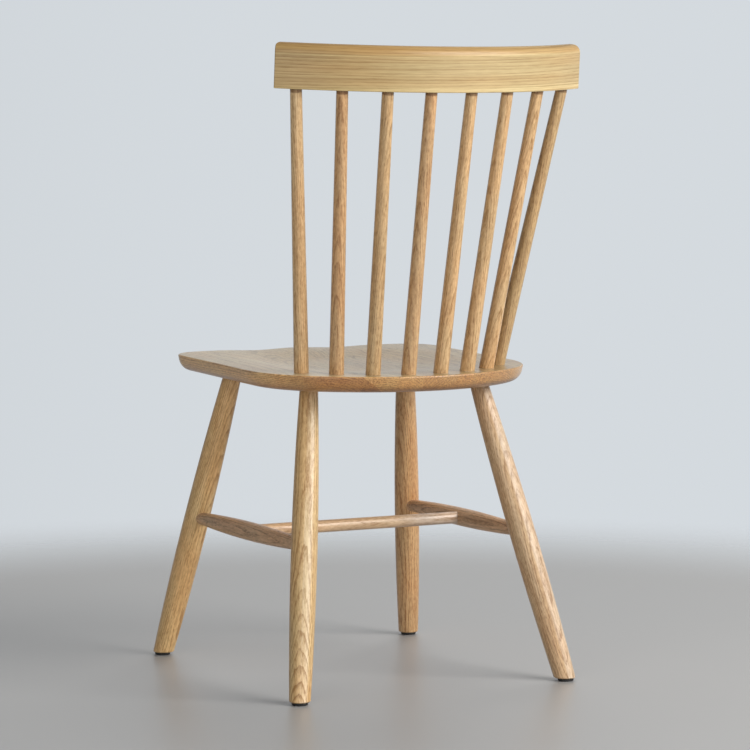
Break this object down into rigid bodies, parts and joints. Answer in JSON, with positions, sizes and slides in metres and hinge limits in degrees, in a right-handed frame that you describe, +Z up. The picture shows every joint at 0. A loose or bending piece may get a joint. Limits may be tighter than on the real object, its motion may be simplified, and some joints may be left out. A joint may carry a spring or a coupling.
{
  "type": "windsor dining chair",
  "caption": "Armless spindle-back dining chair in oak with a saddled plank seat, splayed turned legs, an H-shaped stretcher and a bent crest rail.",
  "frame": {"origin": "on the floor under the middle of the chair's bounding box", "axes": "+Z up, the sitter faces -Y, +X is the sitter's left"},
  "size_m": [0.4682, 0.5348, 0.8852],
  "materials": {
    "seat_oak": "satin lacquered oak, long grain front to back",
    "leg_oak": "satin lacquered oak, turned",
    "spindle_oak": "satin lacquered oak, turned",
    "crest_oak": "satin lacquered oak, bent along the grain",
    "pad_plastic": "moulded black plastic glide",
    "nail_steel": "bright drawn wire nail"
  },
  "bodies": {
    "root": {"crest_rail": "crest_oak", "cross_stretcher": "leg_oak", "foot_pad_front_left": "pad_plastic", "foot_pad_front_right": "pad_plastic", "foot_pad_nails": "nail_steel", "foot_pad_rear_left": "pad_plastic", "foot_pad_rear_right": "pad_plastic", "leg_front_left": "leg_oak", "leg_front_right": "leg_oak", "leg_rear_left": "leg_oak", "leg_rear_right": "leg_oak", "seat_board_1": "seat_oak", "seat_board_2": "seat_oak", "seat_board_3": "seat_oak", "seat_board_4": "seat_oak", "seat_board_5": "seat_oak", "side_stretcher_left": "leg_oak", "side_stretcher_right": "leg_oak", "spindle_1": "spindle_oak", "spindle_2": "spindle_oak", "spindle_3": "spindle_oak", "spindle_4": "spindle_oak", "spindle_5": "spindle_oak", "spindle_6": "spindle_oak", "spindle_7": "spindle_oak", "spindle_8": "spindle_oak"}
  },
  "joints": []
}
